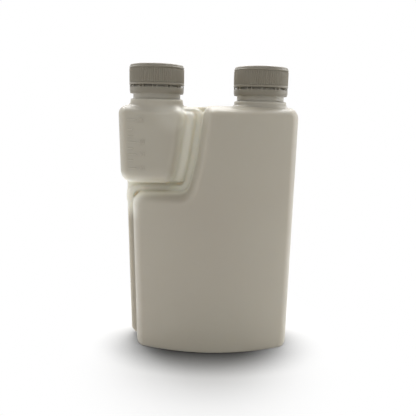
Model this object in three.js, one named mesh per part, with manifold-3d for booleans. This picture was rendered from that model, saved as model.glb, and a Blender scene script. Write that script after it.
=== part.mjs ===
// A twin-neck dosing bottle of about one litre, with two tamper-evident screw caps.
// Millimetres, +Z up, front towards -Y. The parting plane of the mould is y = 0.
// The origin is at the middle of the footprint, on the surface that the bottle stands on.
import * as THREE from 'three';
import { mergeVertices } from 'three/addons/utils/BufferGeometryUtils.js';
import Module from 'manifold-3d';

const wasm = await Module();
wasm.setup();

// Bottle as a whole
const wall = 1.2;
const webThickness = 2.4;
const neckSpacing = 79.5;

// Reservoir, on the right
const reservoirTop = 187.2;
const reservoirRightTop = 67.85;
const reservoirRightBase = 66.7;
const reservoirShoulderRadius = 8.6;
const reservoirInnerCornerRadius = 8.4;
const reservoirStepRadius = 10;
const reservoirValleyRadius = 9;
const reservoirCrown = 36.5;
const reservoirBow = 12.2;
const reservoirBowReach = 55.2;
const reservoirBowCentre = 5.95;
const reservoirEdgeInset = 6.5;
const reservoirEdgeDepth = 20;

// Foot of the reservoir
const footRadius = 2.2;
const footRimWidth = 6;
const footHollowHeight = 1.2;
const footFloor = 1.2;
const footSlack = 1.5;
const footCornerFullness = 0.8;

// Measuring chamber, at the upper left
const chamberDrop = 1;
const chamberHeight = 58;
const chamberTop = reservoirTop - chamberDrop;
const chamberBottom = chamberTop - chamberHeight;
const chamberLeftTop = -67.85;
const chamberLeftBottom = -66.1;
const chamberShoulderRadius = 8.4;
const chamberFootRadius = 9.5;
const chamberCornerRadius = 9;
const chamberHalfDepth = 23;
const chamberBow = 1.6;
const chamberBowReach = 19.9;
const chamberBowCentre = -neckSpacing / 2;
const chamberEdgeInset = 6.8;
const chamberEdgeDepth = 13;

// Flank of the chamber, the lower strip beside the feed tube
const flankWidth = 8.2;
const flankHalfDepth = 11;
const flankEdgeInset = 3.4;
const flankEdgeDepth = 7;
const flankCornerRadius = 5;

// Feed tube
const tubeHalfWidth = 2.8;
const tubeHalfDepth = 6.2;
const tubeEdgeInset = 2.2;
const tubeEdgeDepth = 4;
const tubeWall = 1;
const tubePinch = 0.4;
const tubePortX = -48;
const tubeFootX = -56.45;
const tubeFootZ = 4.2;
const tubeShelfX = -59.75;
const tubeShelfDrop = 4.7;
const tubeShelfZ = chamberBottom - tubeShelfDrop;
const tubeRiserX = -16.5;
const tubeKneeX = -10.4;
const tubeKneeRise = 26.5;
const tubeKneeZ = tubeShelfZ + tubeKneeRise;
const tubeCrestX = -6.3;
const tubeCrestDrop = 3.6;
const tubeCrestZ = chamberTop - tubeCrestDrop;
const tubeMouthX = -24;
const tubeFootBend = 4.4;
const tubeShelfBend = 7.5;
const tubeRiserBend = 7;
const tubeKneeBend = 40;
const tubeCrestBend = 4.2;

// Neck finish, set out from the rim downwards
const neckRise = 26.4;
const neckTop = reservoirTop + neckRise;
const neckRadius = 17.9;
const neckWall = 2;
const neckBore = neckRadius - neckWall;
const neckRootBlend = 1.2;
const neckRootDepth = 6.5;
const neckBoreDepth = 7.2;
const collarWidth = 2.1;
const collarRadius = neckRadius + collarWidth;
const collarDrop = 22.3;
const collarTop = neckTop - collarDrop;
const retainerWidth = 1.2;
const retainerRadius = neckRadius + retainerWidth;
const retainerHeight = 1.5;
const retainerDrop = 14.1;
const retainerBottom = neckTop - retainerDrop;

// Thread, shared by neck and cap
const threadPitch = 4.2;
const threadDepth = 1;
const threadRootWidth = 1.9;
const threadCrestWidth = 0.9;
const threadDrop = 2.2;
const neckThreadTop = neckTop - threadDrop;
const neckThreadTurns = 1.6;
const capThreadTurns = 1.4;
const threadBury = 0.45;
const threadRunOut = 0.12;

// Sealing disc, between the rim and the cap's ceiling
const linerThickness = 1.1;
const linerClearance = 0.3;

// Cap, set out from its ceiling and from the retainer that it has to pass
const capSkirtClearance = 0.4;
const capInnerRadius = retainerRadius + capSkirtClearance;
const capWall = 0.75;
const capSkirtRadius = capInnerRadius + capWall;
const capHemOverhang = 0.6;
const capHemRadius = capSkirtRadius + capHemOverhang;
const capDiscOverhang = 0.05;
const capDiscRadius = capSkirtRadius + capDiscOverhang;
const capCeiling = neckTop + linerThickness + 2 * linerClearance;
const capPlate = 1.4;
const capTop = capCeiling + capPlate;
const capHeight = 15.2;
const capBottom = capTop - capHeight;
const capDiscHeight = 1.8;
const capHemHeight = 1.7;
const capBeadHeight = 1.3;
const ribCount = 80;
const ribHeight = 0.5;
const ribTop = capTop - capDiscHeight - capBeadHeight;
const ribBottom = capBottom + capHemHeight;

// Tamper ring, under the cap
const ringWall = 1.1;
const ringRadius = capInnerRadius + ringWall;
const ringTaper = 0.4;
const ringSlot = 1.7;
const ringTop = capBottom - ringSlot;
const ringHeight = 4.6;
const ringBottom = ringTop - ringHeight;
const ringClearance = 0.3;
const ringHookHeight = 2;
const ringHookGap = 0.6;
const bridgePairs = 12;
const bridgeSpread = 9;
const bridgeWidth = 0.9;
const bridgeDepth = 0.8;
const bridgeBury = 0.3;
const bridgeGap = 0.3;

// Fineness of the facets
const roundSegments = 36;
const threadStepsPerTurn = 18;
const bowStep = 20;
const cavityBowStep = 40;
const cavityEdgeSegments = 2;
const footprintSteps = 10;
const footEdgeSegments = 2;
const footCornerSegments = 3;

// Reach of the tools that cut, always beyond what they cut
const cutReach = 20;

// Points closer than this are one point
const weldDistance = 1e-4;

const naturalPlastic = { color: 0xbab2a2, roughness: 0.42, metalness: 0 };
const greyPlastic = { color: 0x8a8478, roughness: 0.5, metalness: 0 };
const foam = { color: 0xe4e2dc, roughness: 0.85, metalness: 0 };

// Shared operations

/** Six times the signed volume of a closed mesh, negative when its faces point inwards. */
function signedVolume(positions, triangles) {
  const corner = (index) => new THREE.Vector3().fromBufferAttribute(positions, index);
  let total = 0;
  for (let i = 0; i < triangles.length; i += 3) {
    const [a, b, c] = [0, 1, 2].map((step) => corner(triangles[i + step]));
    total += a.dot(b.cross(c));
  }
  return total;
}

/** A closed three.js geometry as a solid that can be joined and cut. */
function solidOf(geometry) {
  const bare = geometry.clone();
  bare.deleteAttribute('normal');
  bare.deleteAttribute('uv');
  const merged = mergeVertices(bare, weldDistance);
  const index = merged.getIndex().array;
  const kept = [];
  for (let i = 0; i < index.length; i += 3) {
    const [a, b, c] = [index[i], index[i + 1], index[i + 2]];
    if (a !== b && b !== c && c !== a) kept.push(a, b, c);
  }
  const positions = merged.getAttribute('position');
  if (signedVolume(positions, kept) < 0) kept.reverse();
  return new wasm.Manifold(new wasm.Mesh({
    numProp: 3,
    vertProperties: new Float32Array(positions.array),
    triVerts: new Uint32Array(kept),
  }));
}

/** A solid as a named mesh with its own material. */
function meshOf(name, solid, look) {
  const result = solid.getMesh();
  const geometry = new THREE.BufferGeometry();
  geometry.setAttribute('position', new THREE.BufferAttribute(result.vertProperties, 3));
  geometry.setIndex(new THREE.BufferAttribute(result.triVerts, 1));
  geometry.computeVertexNormals();
  const mesh = new THREE.Mesh(geometry, new THREE.MeshStandardMaterial(look));
  mesh.name = name;
  return mesh;
}

/** Joins several solids into one. */
function joined(solids) {
  return solids.reduce((whole, solid) => whole.add(solid));
}

/** Draws straight lines through corners [x, y, radius] and rounds each with its radius. */
function drawRounded(path, corners, closed) {
  const count = corners.length;
  const at = (i) => new THREE.Vector2(...corners[(i + count) % count].slice(0, 2));
  for (let i = 0; i < count; i++) {
    const here = at(i);
    const isEnd = !closed && (i === 0 || i === count - 1);
    if (isEnd) {
      if (i === 0) path.moveTo(here.x, here.y);
      else path.lineTo(here.x, here.y);
      continue;
    }
    const radius = corners[i][2];
    const back = at(i - 1).sub(here).normalize();
    const ahead = at(i + 1).sub(here).normalize();
    const half = Math.acos(THREE.MathUtils.clamp(back.dot(ahead), -1, 1)) / 2;
    const toCentre = back.clone().add(ahead).normalize().multiplyScalar(radius / Math.sin(half));
    const centre = here.clone().add(toCentre);
    const start = here.clone().addScaledVector(back, radius / Math.tan(half)).sub(centre);
    const end = here.clone().addScaledVector(ahead, radius / Math.tan(half)).sub(centre);
    const clockwise = back.cross(ahead) > 0;
    const arc = new THREE.EllipseCurve(
      centre.x, centre.y, radius, radius, start.angle(), end.angle(), clockwise);
    const arcStart = arc.getPoint(0);
    if (i === 0) path.moveTo(arcStart.x, arcStart.y);
    else path.lineTo(arcStart.x, arcStart.y);
    path.curves.push(arc);
    path.currentPoint.copy(arc.getPoint(1));
  }
  return path;
}

/** An outline in the front view, drawn out to both sides of the parting plane with soft edges. */
function lobe(outline, form, inset = 0) {
  const straight = form.halfDepth - form.edgeDepth - inset;
  const geometry = new THREE.ExtrudeGeometry(outline, {
    depth: 2 * straight,
    bevelThickness: form.edgeDepth,
    bevelSize: form.edgeInset,
    bevelOffset: -form.edgeInset - inset,
    bevelSegments: inset > 0 ? cavityEdgeSegments : form.edgeSegments,
    curveSegments: form.cornerSegments,
  });
  geometry.translate(0, 0, -straight);
  geometry.rotateX(Math.PI / 2);
  return geometry;
}

/** Splits every edge that runs further than `step` across the width, so that faces can bow. */
function splitAcross(geometry, step) {
  const source = geometry.index ? geometry.toNonIndexed() : geometry;
  const positions = source.getAttribute('position');
  const waiting = [];
  for (let i = 0; i < positions.count; i += 3) {
    waiting.push([0, 1, 2].map((k) => new THREE.Vector3().fromBufferAttribute(positions, i + k)));
  }
  const done = [];
  while (waiting.length > 0) {
    const triangle = waiting.pop();
    const spans = triangle.map((point, k) => Math.abs(point.x - triangle[(k + 1) % 3].x));
    const widest = spans.indexOf(Math.max(...spans));
    if (spans[widest] <= step) {
      done.push(...triangle);
      continue;
    }
    const [a, b, c] = [0, 1, 2].map((k) => triangle[(widest + k) % 3]);
    const middle = a.clone().add(b).multiplyScalar(0.5);
    waiting.push([a, middle, c], [middle, b, c]);
  }
  return new THREE.BufferGeometry().setFromPoints(done);
}

/** Scales the depth of a lobe so that its half depth follows `halfDepthAt` across the width. */
function bow(geometry, step, halfDepth, halfDepthAt) {
  const split = splitAcross(geometry, step);
  const positions = split.getAttribute('position');
  for (let i = 0; i < positions.count; i++) {
    const x = positions.getX(i);
    positions.setY(i, positions.getY(i) * halfDepthAt(x) / halfDepth);
  }
  return split;
}

/** A profile [radius, height] turned about the vertical axis. */
function turned(profile) {
  const points = profile.map(([radius, height]) => new THREE.Vector2(radius, height));
  return new THREE.LatheGeometry(points, roundSegments).rotateX(Math.PI / 2);
}

/** A right-hand thread, extruded straight and then wound downwards from `top`. */
function thread(buriedRadius, crestRadius, top, turns) {
  const outwards = Math.sign(crestRadius - buriedRadius);
  const reach = Math.abs(crestRadius - buriedRadius);
  const section = new THREE.Shape();
  section.moveTo(0, -threadRootWidth / 2);
  section.lineTo(reach, -threadCrestWidth / 2);
  section.lineTo(reach, threadCrestWidth / 2);
  section.lineTo(0, threadRootWidth / 2);
  section.closePath();
  const steps = Math.round(turns * threadStepsPerTurn);
  const geometry = new THREE.ExtrudeGeometry(section, { depth: turns, steps, bevelEnabled: false });
  const positions = geometry.getAttribute('position');
  const sunkShare = (reach - threadDepth) / reach / 2;
  for (let i = 0; i < positions.count; i++) {
    const turn = positions.getZ(i);
    const rise = Math.min(1, turn / threadRunOut, (turns - turn) / threadRunOut);
    const share = sunkShare + (1 - sunkShare) * Math.max(0, rise);
    const radius = buriedRadius + outwards * positions.getX(i) * share;
    const angle = -2 * Math.PI * turn;
    const height = top + positions.getY(i) - threadPitch * turn;
    positions.setXYZ(i, radius * Math.cos(angle), radius * Math.sin(angle), height);
  }
  return geometry;
}

// Route of the feed tube in the front view: in at the foot, up the side, under the
// chamber, up between chamber and reservoir, and over into the top of the chamber.
const tubeRoute = [
  [tubePortX, tubeFootZ],
  [tubeFootX, tubeFootZ, tubeFootBend],
  [tubeShelfX, tubeShelfZ, tubeShelfBend],
  [tubeRiserX, tubeShelfZ, tubeRiserBend],
  [tubeKneeX, tubeKneeZ, tubeKneeBend],
  [tubeCrestX, tubeCrestZ, tubeCrestBend],
  [tubeMouthX, tubeCrestZ],
];

const tubeForm = {
  halfDepth: tubeHalfDepth,
  edgeInset: tubeEdgeInset,
  edgeDepth: tubeEdgeDepth,
  edgeSegments: 2,
  cornerSegments: 3,
};

/** The crossing of the tube's legs i and i + 1 once both are moved `offset` to their right. */
function besideTube(i, offset) {
  const [a, b, c] = [0, 1, 2].map((k) => new THREE.Vector2(...tubeRoute[i + k].slice(0, 2)));
  const first = b.clone().sub(a).normalize();
  const second = c.clone().sub(b).normalize();
  const rightOf = (v) => new THREE.Vector2(v.y, -v.x);
  const bisector = rightOf(first).add(rightOf(second)).normalize();
  const stretch = offset / bisector.dot(rightOf(first));
  return b.addScaledVector(bisector, stretch).toArray();
}

/** The closed outline that a strip of the given half width draws along the tube's route. */
function tubeOutline(halfWidth) {
  const centre = drawRounded(new THREE.Path(), tubeRoute, false).getPoints(tubeForm.cornerSegments);
  const normals = centre.map((point, i) => {
    const before = centre[Math.max(i - 1, 0)];
    const after = centre[Math.min(i + 1, centre.length - 1)];
    const incoming = point.clone().sub(i > 0 ? before : after).normalize();
    const outgoing = after.clone().sub(i < centre.length - 1 ? point : before).normalize();
    if (i === 0) incoming.copy(outgoing);
    const along = incoming.add(outgoing).normalize();
    return new THREE.Vector2(along.y, -along.x);
  });
  const right = centre.map((point, i) => point.clone().addScaledVector(normals[i], halfWidth));
  const left = centre.map((point, i) => point.clone().addScaledVector(normals[i], -halfWidth));
  return new THREE.Shape([...right, ...left.reverse()]);
}

// Bottle

const seat = tubeHalfWidth - tubePinch;
const below = -cutReach;
const legSlope = (tubeShelfX - tubeFootX) / (tubeShelfZ - tubeFootZ);
const reservoirLeftAt = (z) => tubeFootX + seat + legSlope * (z - tubeFootZ);
const crestSlope = (tubeCrestX - tubeKneeX) / (tubeCrestZ - tubeKneeZ);
const riserAt = (z) => tubeCrestX + crestSlope * (z - tubeCrestZ);

const reservoirOutline = drawRounded(new THREE.Shape(), [
  [reservoirRightBase, below, reservoirShoulderRadius],
  [reservoirRightTop, reservoirTop, reservoirShoulderRadius],
  [riserAt(reservoirTop) + seat, reservoirTop, reservoirInnerCornerRadius],
  [...besideTube(3, seat), tubeKneeBend],
  [...besideTube(2, seat), reservoirValleyRadius],
  [...besideTube(1, seat), reservoirStepRadius],
  [reservoirLeftAt(below), below, reservoirShoulderRadius],
], true);

const chamberRightAt = (z) => riserAt(z) - seat;
const kneeLeft = besideTube(3, -seat);
const riserFoot = besideTube(2, -seat);
const riserSlope = (kneeLeft[0] - riserFoot[0]) / (kneeLeft[1] - riserFoot[1]);
const chamberCornerX = riserFoot[0] + riserSlope * (chamberBottom - riserFoot[1]);

const flankOutline = drawRounded(new THREE.Shape(), [
  [chamberCornerX, chamberBottom, flankCornerRadius],
  [...kneeLeft, tubeKneeBend],
  [chamberRightAt(tubeCrestZ), tubeCrestZ, flankCornerRadius],
  [tubeMouthX, tubeCrestZ, flankCornerRadius],
  [tubeMouthX - flankWidth, chamberBottom, flankCornerRadius],
], true);

const chamberOutline = drawRounded(new THREE.Shape(), [
  [chamberLeftBottom, chamberBottom, chamberFootRadius],
  [chamberCornerX - flankWidth, chamberBottom, chamberCornerRadius],
  [kneeLeft[0] - flankWidth, kneeLeft[1], tubeKneeBend],
  [chamberRightAt(chamberTop) - flankWidth, chamberTop, chamberShoulderRadius],
  [chamberLeftTop, chamberTop, chamberShoulderRadius],
], true);

const reservoirForm = {
  halfDepth: reservoirCrown,
  edgeInset: reservoirEdgeInset,
  edgeDepth: reservoirEdgeDepth,
  edgeSegments: 4,
  cornerSegments: 3,
};
const chamberForm = {
  halfDepth: chamberHalfDepth,
  edgeInset: chamberEdgeInset,
  edgeDepth: chamberEdgeDepth,
  edgeSegments: 3,
  cornerSegments: 3,
};
const flankForm = {
  halfDepth: flankHalfDepth,
  edgeInset: flankEdgeInset,
  edgeDepth: flankEdgeDepth,
  edgeSegments: 2,
  cornerSegments: 2,
};

const reservoirHalfDepthAt = (x) =>
  reservoirCrown - reservoirBow * ((x - reservoirBowCentre) / reservoirBowReach) ** 2;
const chamberHalfDepthAt = (x) => {
  const offCentre = (x - chamberBowCentre) / chamberBowReach;
  return chamberHalfDepth - chamberBow * offCentre ** 2;
};

const bowStepFor = (inset) => (inset > 0 ? cavityBowStep : bowStep);

function reservoir(inset) {
  const geometry = lobe(reservoirOutline, reservoirForm, inset);
  const depthAt = (x) => reservoirHalfDepthAt(x) - inset;
  return solidOf(bow(geometry, bowStepFor(inset), reservoirCrown - inset, depthAt));
}

function chamber(inset) {
  const geometry = lobe(chamberOutline, chamberForm, inset);
  const depthAt = (x) => chamberHalfDepthAt(x) - inset;
  const main = solidOf(bow(geometry, bowStepFor(inset), chamberHalfDepth - inset, depthAt));
  return main.add(solidOf(lobe(flankOutline, flankForm, inset)));
}

function feedTube(inset) {
  const form = {
    ...tubeForm,
    halfDepth: tubeHalfDepth - inset,
    edgeInset: tubeEdgeInset - inset,
  };
  return solidOf(lobe(tubeOutline(tubeHalfWidth - inset), form));
}

/** The outside of one neck, from inside the shoulder to the rim, with its thread. */
function neck() {
  const body = solidOf(turned([
    [0, chamberTop - neckRootDepth],
    [collarRadius, chamberTop - neckRootDepth],
    [collarRadius, collarTop - neckRootBlend],
    [collarRadius - neckRootBlend, collarTop],
    [neckRadius, collarTop],
    [neckRadius, retainerBottom],
    [retainerRadius, retainerBottom],
    [retainerRadius, retainerBottom + retainerHeight / 2],
    [neckRadius, retainerBottom + retainerHeight],
    [neckRadius, neckTop],
    [0, neckTop],
  ]));
  const buried = neckRadius - threadBury;
  const ridge = thread(buried, neckRadius + threadDepth, neckThreadTop, neckThreadTurns);
  return body.add(solidOf(ridge));
}

/** The bore of one neck, from inside the bottle to above the rim. */
function neckBoreTool() {
  return solidOf(turned([
    [0, chamberTop - neckBoreDepth],
    [neckBore, chamberTop - neckBoreDepth],
    [neckBore, neckTop + cutReach],
    [0, neckTop + cutReach],
  ]));
}

/** The thin pinched sheet that fills the gaps between chamber, tube and reservoir. */
function web() {
  const left = tubeShelfX - tubeHalfWidth;
  const right = tubeCrestX + tubeHalfWidth + reservoirEdgeInset;
  const low = tubeShelfZ - tubeShelfBend - tubeHalfWidth;
  const sheet = new THREE.BoxGeometry(right - left, webThickness, chamberTop - low);
  sheet.translate((left + right) / 2, 0, (chamberTop + low) / 2);
  return solidOf(sheet);
}

/** The outline of the footprint, moved inwards by `inset`. */
function footprint(inset) {
  const left = tubeFootX - tubeHalfWidth + inset;
  const right = reservoirRightBase - inset;
  const frontAt = (x) => reservoirHalfDepthAt(x) - inset;
  const flatLeft = left + reservoirEdgeInset;
  const flatRight = right - reservoirEdgeInset;
  const front = [];
  for (let i = 0; i <= footprintSteps; i++) {
    const x = flatLeft + (flatRight - flatLeft) * i / footprintSteps;
    front.push(new THREE.Vector2(x, -frontAt(x)));
  }
  const back = front.map((point) => new THREE.Vector2(point.x, -point.y)).reverse();
  const side = new THREE.Shape(front);
  side.quadraticCurveTo(right, -frontAt(right) * footCornerFullness, right, 0);
  side.quadraticCurveTo(right, frontAt(right) * footCornerFullness, back[0].x, back[0].y);
  for (const point of back.slice(1)) side.lineTo(point.x, point.y);
  side.quadraticCurveTo(left, frontAt(left) * footCornerFullness, left, 0);
  side.quadraticCurveTo(left, -frontAt(left) * footCornerFullness, front[0].x, front[0].y);
  return side;
}

/** All that may stay above the floor: a low plate with a rounded lower edge, and free space on it. */
function footEnvelope() {
  const geometry = new THREE.ExtrudeGeometry(footprint(-footSlack), {
    depth: footRadius,
    bevelThickness: footRadius,
    bevelSize: footRadius + footSlack,
    bevelOffset: -footRadius - footSlack,
    bevelSegments: footEdgeSegments,
    curveSegments: footCornerSegments,
  });
  const plate = solidOf(geometry.translate(0, 0, footRadius));
  return plate.add(everything(2 * footRadius, 1));
}

/** The hollow under the floor that leaves a flat rim to stand on. */
function footHollow() {
  const geometry = new THREE.ExtrudeGeometry(footprint(footRimWidth), {
    depth: cutReach,
    bevelEnabled: false,
    curveSegments: footCornerSegments,
  });
  return solidOf(geometry.translate(0, 0, footHollowHeight - cutReach));
}

/** A block that spans everything above (side 1) or below (side -1) the given height. */
function everything(height, side) {
  const size = neckTop + 2 * cutReach;
  const block = new THREE.BoxGeometry(size, size, size);
  return solidOf(block.translate(0, 0, height + side * size / 2));
}

const chamberNeckX = -neckSpacing / 2;
const reservoirNeckX = neckSpacing / 2;
const neckPlaces = [chamberNeckX, reservoirNeckX];

function bottle() {
  const necks = neckPlaces.map((x) => neck().translate([x, 0, 0]));
  const outside = joined([reservoir(0), chamber(0), feedTube(0), web(), ...necks])
    .subtract(everything(0, -1))
    .intersect(footEnvelope());
  const reservoirSpace = reservoir(wall).subtract(everything(footHollowHeight + footFloor, -1));
  const bores = neckPlaces.map((x) => neckBoreTool().translate([x, 0, 0]));
  const inside = joined([reservoirSpace, chamber(wall), feedTube(tubeWall), ...bores]);
  return outside.subtract(inside).subtract(footHollow());
}

// Caps and tamper rings, built on the axis and moved to their necks

/** The ribbed belt of the skirt, an outline with a tooth for each rib. */
function ribbedBelt() {
  const outline = [];
  const crest = capSkirtRadius + ribHeight;
  const pitch = 2 * Math.PI / ribCount;
  for (let i = 0; i < ribCount; i++) {
    for (const [share, radius] of [[0, capSkirtRadius], [0.5, crest]]) {
      const angle = (i + share) * pitch;
      outline.push(new THREE.Vector2(radius * Math.cos(angle), radius * Math.sin(angle)));
    }
  }
  const belt = new THREE.Shape(outline);
  const geometry = new THREE.ExtrudeGeometry(belt, { depth: ribTop - ribBottom, bevelEnabled: false });
  return solidOf(geometry.translate(0, 0, ribBottom));
}

function cap() {
  const beadRadius = capSkirtRadius + ribHeight;
  const outside = solidOf(turned([
    [0, capBottom],
    [capHemRadius, capBottom],
    [capHemRadius, ribBottom],
    [capSkirtRadius - ribHeight, ribBottom],
    [capSkirtRadius - ribHeight, ribTop],
    [beadRadius, ribTop],
    [beadRadius, ribTop + capBeadHeight / 2],
    [capDiscRadius, ribTop + capBeadHeight],
    [capDiscRadius, capTop],
    [0, capTop],
  ])).add(ribbedBelt());
  const hollow = solidOf(turned([
    [0, capBottom - cutReach],
    [capInnerRadius, capBottom - cutReach],
    [capInnerRadius, capCeiling],
    [0, capCeiling],
  ]));
  const crest = capInnerRadius - threadDepth;
  const top = neckThreadTop + threadPitch / 2;
  const ridge = thread(capInnerRadius + threadBury, crest, top, capThreadTurns);
  return outside.subtract(hollow).add(solidOf(ridge));
}

function liner() {
  return solidOf(turned([
    [0, neckTop + linerClearance],
    [neckRadius, neckTop + linerClearance],
    [neckRadius, capCeiling - linerClearance],
    [0, capCeiling - linerClearance],
  ]));
}

function tamperRing() {
  const hookRadius = neckRadius + ringClearance;
  const hookTop = retainerBottom - ringHookGap;
  const hookBottom = hookTop - ringHookHeight;
  const band = solidOf(turned([
    [capInnerRadius, ringBottom],
    [ringRadius - ringTaper, ringBottom],
    [ringRadius, ringBottom + ringHookHeight],
    [ringRadius, ringTop],
    [capInnerRadius, ringTop],
    [capInnerRadius, hookTop + ringClearance],
    [hookRadius, hookTop],
    [capInnerRadius, hookBottom],
    [capInnerRadius, ringBottom],
  ]));
  const bridgeBottom = ringTop - bridgeBury;
  const bridgeHeight = capBottom - bridgeGap - bridgeBottom;
  const bridges = [];
  for (let pair = 0; pair < bridgePairs; pair++) {
    for (const side of [-0.5, 0.5]) {
      const angle = THREE.MathUtils.degToRad(pair * 360 / bridgePairs + side * bridgeSpread);
      const bridge = new THREE.BoxGeometry(bridgeDepth, bridgeWidth, bridgeHeight);
      bridge.translate((ringRadius + capInnerRadius) / 2, 0, bridgeBottom + bridgeHeight / 2);
      bridge.rotateZ(angle);
      bridges.push(solidOf(bridge));
    }
  }
  return joined([band, ...bridges]);
}

// Assembly

const assembly = new THREE.Group();
assembly.add(meshOf('bottle', bottle(), naturalPlastic));
for (const [use, x] of [['dosing', chamberNeckX], ['filling', reservoirNeckX]]) {
  const closure = new THREE.Group();
  closure.position.x = x;
  closure.add(meshOf(`${use}_cap`, cap(), greyPlastic));
  closure.add(meshOf(`${use}_cap_liner`, liner(), foam));
  closure.add(meshOf(`${use}_tamper_ring`, tamperRing(), greyPlastic));
  assembly.add(closure);
}

export default assembly;
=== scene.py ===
from math import cos, pi, radians, sin

import bpy
import numpy as np
from mathutils import Matrix, Vector


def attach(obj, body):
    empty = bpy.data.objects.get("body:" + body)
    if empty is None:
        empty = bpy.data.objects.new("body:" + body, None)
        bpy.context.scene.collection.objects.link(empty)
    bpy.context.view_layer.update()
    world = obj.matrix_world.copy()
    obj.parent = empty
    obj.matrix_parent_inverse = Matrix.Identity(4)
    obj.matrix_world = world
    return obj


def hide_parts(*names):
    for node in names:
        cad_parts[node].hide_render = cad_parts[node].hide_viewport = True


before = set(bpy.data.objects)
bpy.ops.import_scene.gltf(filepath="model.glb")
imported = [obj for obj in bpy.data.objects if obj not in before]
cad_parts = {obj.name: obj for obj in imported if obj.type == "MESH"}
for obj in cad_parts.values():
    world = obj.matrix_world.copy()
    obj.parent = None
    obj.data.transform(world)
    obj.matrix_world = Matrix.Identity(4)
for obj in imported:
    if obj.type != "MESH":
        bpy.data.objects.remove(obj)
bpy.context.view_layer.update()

scene = bpy.context.scene
mm = 0.001

# Camera: where the photograph was taken from, level with the shoulder, about 0.4 m in front and
# tilted a little down. Its place comes from the caps and the front edge of the base.

camera_place = Vector((-9.55, -397.54, 183.13)) * mm
camera_turn = radians(-1.60)
camera_dip = radians(10.84)
camera_roll = radians(1.40)

forward = Vector((
    -sin(camera_turn) * cos(camera_dip), cos(camera_turn) * cos(camera_dip), -sin(camera_dip)))
level = Vector((cos(camera_turn), sin(camera_turn), 0))
upright = level.cross(forward)
across = level * cos(camera_roll) + upright * sin(camera_roll)
upwards = upright * cos(camera_roll) - level * sin(camera_roll)

lens = bpy.data.cameras.new("camera")
lens.sensor_width = 36
lens.lens = 43.73
lens.clip_start = 0.01
camera = bpy.data.objects.new("camera", lens)
facing = Matrix((across, upwards, -forward)).transposed().to_4x4()
camera.matrix_world = Matrix.Translation(camera_place) @ facing
scene.collection.objects.link(camera)
scene.camera = camera

# Studio: a white sweep that the bottle stands on, lit by two long lamps at its sides, one
# behind and above and a weak one in front, so that the edges come out lighter than the front.

scene.view_settings.view_transform = "Standard"


def mesh_object(name, points, faces, smooth=True):
    """An object in the scene, made of points in metres and the faces between them."""
    mesh = bpy.data.meshes.new(name)
    mesh.from_pydata([tuple(point) for point in points], [], [tuple(face) for face in faces])
    mesh.validate()
    if smooth:
        mesh.shade_smooth()
    made = bpy.data.objects.new(name, mesh)
    scene.collection.objects.link(made)
    return made


floor_reach = 1.6
floor = mesh_object("floor", [
    (-floor_reach, -floor_reach, 0),
    (floor_reach, -floor_reach, 0),
    (floor_reach, floor_reach, 0),
    (-floor_reach, floor_reach, 0),
], [(0, 1, 2, 3)], smooth=False)

# The floor's colour is darkened where the bottle crowds it, a painted shadow that is deepest in front, and
# the floor turns white further out.
# Only the camera sees that, so the light that the floor throws back stays plain.

floor_paint = bpy.data.materials.new("white_floor")
floor_paint.use_nodes = True
nodes, links = floor_paint.node_tree.nodes, floor_paint.node_tree.links
floor_shader = nodes["Principled BSDF"]
painted_shadow_reach = nodes.new("ShaderNodeAmbientOcclusion")
painted_shadow_reach.inputs["Distance"].default_value = 0.039
place = nodes.new("ShaderNodeTexCoord")
floor_axes = nodes.new("ShaderNodeSeparateXYZ")
shade_side = nodes.new("ShaderNodeMapRange")
shade_side.inputs["From Min"].default_value = -0.035
shade_side.inputs["From Max"].default_value = 0.01
shade_side.inputs["To Min"].default_value = 3.2
shade_side.inputs["To Max"].default_value = 0.4
deepen = nodes.new("ShaderNodeMath")
deepen.operation = "POWER"
seen = nodes.new("ShaderNodeLightPath")
unseen = nodes.new("ShaderNodeMath")
unseen.operation = "SUBTRACT"
unseen.inputs[0].default_value = 1.0
bounce = nodes.new("ShaderNodeMath")
bounce.operation = "MAXIMUM"
painted_shadow_tone = nodes.new("ShaderNodeMix")
painted_shadow_tone.data_type = "RGBA"
painted_shadow_tone.inputs["A"].default_value = (0.0, 0.0, 0.0, 1)
painted_shadow_tone.inputs["B"].default_value = (0.93, 0.93, 0.93, 1)
links.new(painted_shadow_reach.outputs["AO"], deepen.inputs[0])
links.new(place.outputs["Object"], floor_axes.inputs[0])
links.new(floor_axes.outputs["Y"], shade_side.inputs["Value"])
links.new(shade_side.outputs["Result"], deepen.inputs[1])
links.new(seen.outputs["Is Camera Ray"], unseen.inputs[1])
links.new(deepen.outputs[0], bounce.inputs[0])
links.new(unseen.outputs[0], bounce.inputs[1])
links.new(bounce.outputs[0], painted_shadow_tone.inputs["Factor"])
floor_shader.inputs["Roughness"].default_value = 0.9
floor_shader.inputs["Specular IOR Level"].default_value = 0.0
floor_shader.inputs["Emission Color"].default_value = (1, 1, 1, 1)
shade_shape = nodes.new("ShaderNodeMapping")
shade_shape.inputs["Scale"].default_value = (1.5, 1.0, 1.0)
away = nodes.new("ShaderNodeVectorMath")
away.operation = "LENGTH"
whiten = nodes.new("ShaderNodeMapRange")
whiten.interpolation_type = "SMOOTHSTEP"
whiten.inputs["From Min"].default_value = 0.05
whiten.inputs["From Max"].default_value = 0.17
whiten.inputs["To Min"].default_value = 0.0
whiten.inputs["To Max"].default_value = 1.0
floor_glow = nodes.new("ShaderNodeMath")
floor_glow.operation = "MULTIPLY"
links.new(place.outputs["Object"], shade_shape.inputs["Vector"])
links.new(shade_shape.outputs["Vector"], away.inputs[0])
links.new(away.outputs["Value"], whiten.inputs["Value"])
links.new(seen.outputs["Is Camera Ray"], floor_glow.inputs[0])
links.new(whiten.outputs["Result"], floor_glow.inputs[1])
links.new(floor_glow.outputs[0], floor_shader.inputs["Emission Strength"])
still_lit = nodes.new("ShaderNodeMix")
still_lit.data_type = "RGBA"
still_lit.inputs["B"].default_value = (0.0, 0.0, 0.0, 1)
links.new(floor_glow.outputs[0], still_lit.inputs["Factor"])
links.new(painted_shadow_tone.outputs["Result"], still_lit.inputs["A"])
links.new(still_lit.outputs["Result"], floor_shader.inputs["Base Color"])
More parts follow.
